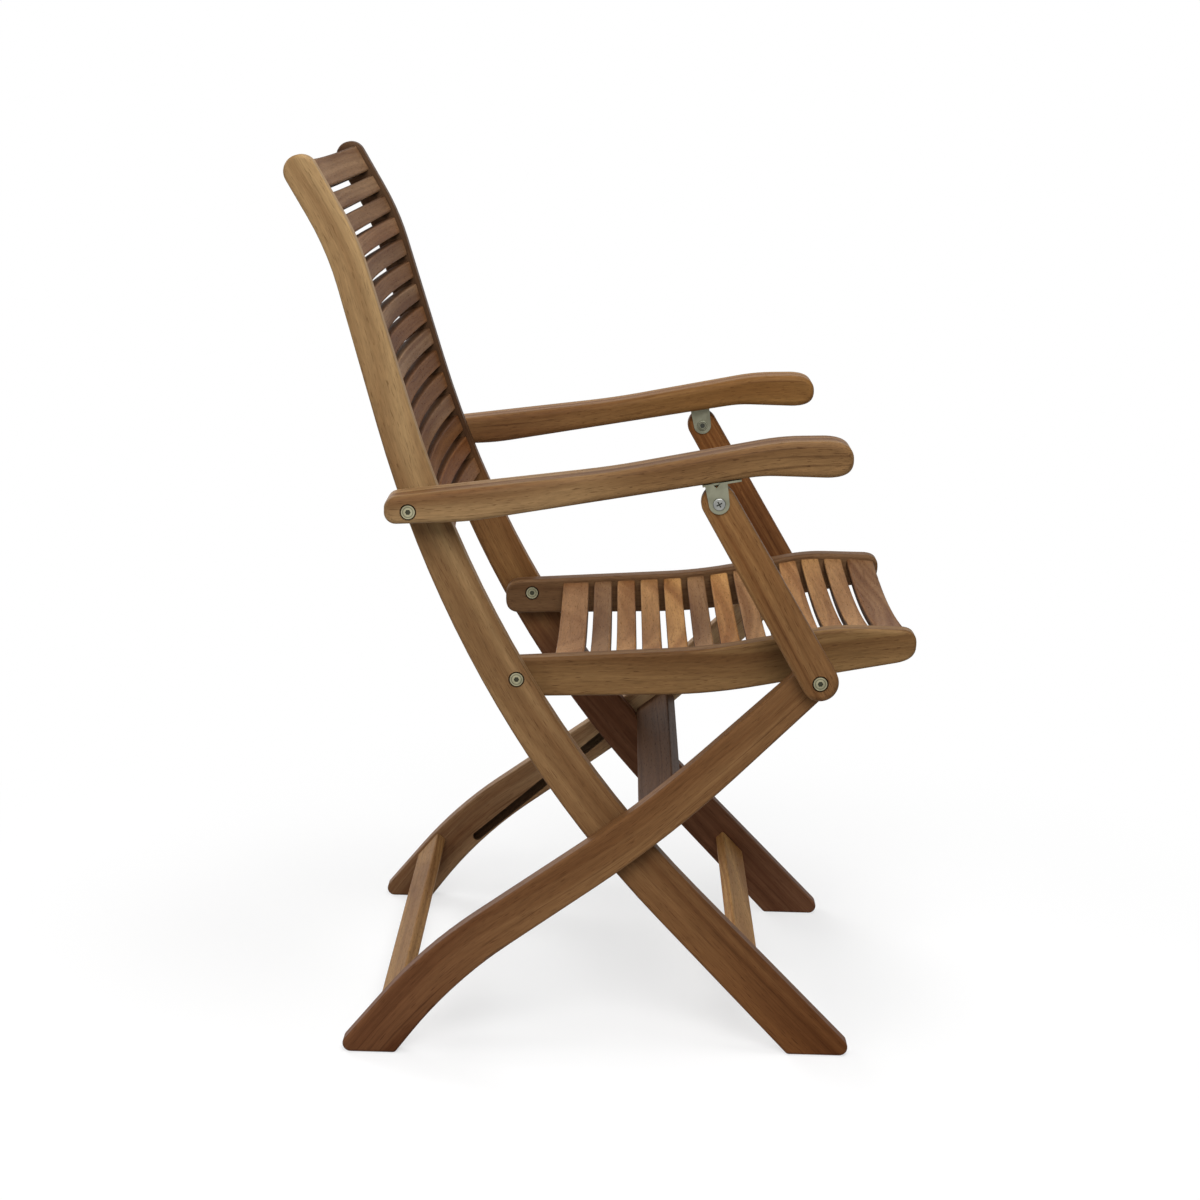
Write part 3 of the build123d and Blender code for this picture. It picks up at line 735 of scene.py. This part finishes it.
# heads with a socket and a turned ring, both darkened with painted shade: their radii in metres, and
# whether the socket is painted dark at any depth
headLooks = {
    "pivot_screws": {"metal": "yellowZinc", "socket": 0.0033, "ring": 0.0052, "through": False},
    "pivot_barrels": {"metal": "yellowZinc", "socket": 0.0026, "ring": 0.0050, "through": True},
    "bracket_bolt": {"metal": "steel", "socket": 0.0042, "ring": 0.0064, "through": False},
    "bracket_nut": {"metal": "greenZinc", "socket": 0.0018, "ring": 0.0044, "through": True},
}


def makeMetal(name, look, marks):
    material, tree, shader = startMaterial(name)
    skin = placeGroup(tree, plating, {
        "Tint": (*look["tint"], 1),
        "Dull": (*look["dull"], 1),
        "Polish": look["polish"],
        **marks,
    })
    linkSurface(tree, shader, skin.outputs["Color"], skin, metalBump)
    shader.inputs["Metallic"].default_value = 1.0
    return material


def headMarks(name, head):
    face = max(abs(corner[1]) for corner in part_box(name))
    return {
        "Centre": middle(name),
        "Face": throughFace if head["through"] else face,
        "Socket": head["socket"],
        "Ring": head["ring"],
    }


plainMetals = {metal: makeMetal(metal, metalLooks[metal], {}) for metal in ("yellowZinc", "greenZinc")}
for name in nodes:
    head = next((look for part, look in headLooks.items() if part in name), None)
    if head:
        dress(name, makeMetal(name + "Metal", metalLooks[head["metal"]], headMarks(name, head)))
    elif "pivot" in name or name == "slide_pins":
        dress(name, plainMetals["yellowZinc"])
    elif "bracket" in name:
        dress(name, plainMetals["greenZinc"])
print("hardware dressed")

# pale floor that fades into a white backdrop, with soft light from the front, above and behind
floorLook = {
    "size": 14.0,
    "drop": 0.0005,
    "color": (0.93, 0.93, 0.93),
    "bounce": (0.42, 0.41, 0.40),
    "fade": (0.25, 1.1),
    "shadow": 0.38,
}
lightLooks = {
    "keySoftbox": {"place": (0.15, -2.5, 2.2), "size": 1.5, "power": 72.0},
    "fillSoftbox": {"place": (-1.9, -2.0, 1.4), "size": 1.4, "power": 16.0},
    "topSoftbox": {"place": (0.35, -0.3, 2.8), "size": 1.4, "power": 40.0},
    "backSoftbox": {"place": (-2.2, 2.2, 1.7), "size": 1.6, "power": 62.0},
}
lampTarget = (0.0, 0.0, 0.45)  # the middle of the chair
worldLook = {"color": (1, 1, 1, 1), "soft": 0.10, "seen": 1.0}


def seenRays(tree):  # what the camera sees, straight or mirrored in metal
    rays = addNode(tree, "ShaderNodeLightPath")
    mirrored = calc(tree, "MAXIMUM", rays.outputs["Is Glossy Ray"], rays.outputs["Is Transmission Ray"])
    return calc(tree, "MAXIMUM", rays.outputs["Is Camera Ray"], mirrored)


def mixShaders(tree, share, first, second, output):
    choose = addNode(tree, "ShaderNodeMixShader")
    tree.links.new(share, choose.inputs[0])
    tree.links.new(first.outputs[0], choose.inputs[1])
    tree.links.new(second.outputs[0], choose.inputs[2])
    tree.links.new(choose.outputs[0], tree.nodes[output].inputs["Surface"])


def addFloor(look):
    mesh = bmesh.new()
    bmesh.ops.create_grid(mesh, x_segments=1, y_segments=1, size=look["size"] / 2)
    data = bpy.data.meshes.new("floor")
    mesh.to_mesh(data)
    mesh.free()
    floor = bpy.data.objects.new("floor", data)
    scene.collection.objects.link(floor)
    floor.location.z = -look["drop"]
    material, tree, shader = startMaterial("palePaper")
    tree.nodes.remove(shader)
    seen = seenRays(tree)
    paper = addNode(tree, "ShaderNodeBsdfDiffuse")
    feed(tree, paper.inputs["Color"], mixColor(tree, seen, (*look["bounce"], 1), (*look["color"], 1)))
    white = addNode(tree, "ShaderNodeEmission")
    away = ramp(tree, calcVector(tree, "LENGTH", objectPlace(tree)), *look["fade"])
    whiteShare = weigh(tree, 1 - look["shadow"], (away, look["shadow"]))
    mixShaders(tree, calc(tree, "MULTIPLY", seen, whiteShare), paper, white, "Material Output")
    data.materials.append(material)


def addSoftbox(name, look):
    data = bpy.data.lights.new(name, "AREA")
    data.shape = "SQUARE"
    data.size = look["size"]
    data.energy = look["power"]
    lamp = bpy.data.objects.new(name, data)
    scene.collection.objects.link(lamp)
    lamp.location = look["place"]
    aim = Vector(lampTarget) - lamp.location
    lamp.rotation_euler = aim.to_track_quat("-Z", "Y").to_euler()


def addWorld(look):
    world = bpy.data.worlds.new("studio")
    scene.world = world
    world.use_nodes = True
    tree = world.node_tree
    soft = tree.nodes["Background"]
    white = addNode(tree, "ShaderNodeBackground")
    for sky, strength in ((soft, look["soft"]), (white, look["seen"])):
        sky.inputs["Color"].default_value = look["color"]
        sky.inputs["Strength"].default_value = strength
    mixShaders(tree, seenRays(tree), soft, white, "World Output")


addFloor(floorLook)
for name, look in lightLooks.items():
    addSoftbox(name, look)
addWorld(worldLook)
print("floor and lights ready")
